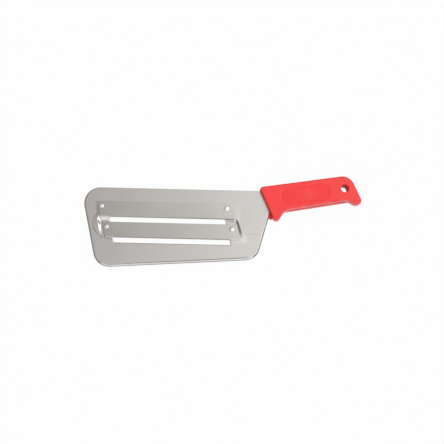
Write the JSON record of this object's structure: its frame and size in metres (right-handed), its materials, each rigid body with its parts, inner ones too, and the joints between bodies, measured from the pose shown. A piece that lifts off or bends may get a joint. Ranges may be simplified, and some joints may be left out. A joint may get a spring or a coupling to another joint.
{
  "type": "cabbage shredder",
  "caption": "Hand-held cabbage shredder: a flat steel blade with riveted cutting strips over slots, a ground lower edge and a red moulded handle with a hang hole.",
  "frame": {"origin": "bottom centre of the bounding box, on the plane of the handle's rear face", "axes": "+X along the cutting strips from the tip to the handle's butt, +Y towards the spine, +Z out of the cutting side"},
  "size_m": [0.3118, 0.1076, 0.017],
  "materials": {
    "blade_steel": "satin rolled sheet, ground along its lower edge",
    "strip_steel": "brushed lengthways, with a ground cutting edge",
    "rivet_steel": "bright domed heads",
    "handle_plastic": "satin moulded, with a finer matt recess"
  },
  "bodies": {
    "root": {"blade_plate": "blade_steel", "upper_cutting_strip": "strip_steel", "upper_tip_rivet": "rivet_steel", "upper_heel_rivet": "rivet_steel", "lower_cutting_strip": "strip_steel", "lower_tip_rivet": "rivet_steel", "lower_heel_rivet": "rivet_steel", "handle_front_half": "handle_plastic", "handle_rear_half": "handle_plastic"}
  },
  "joints": []
}
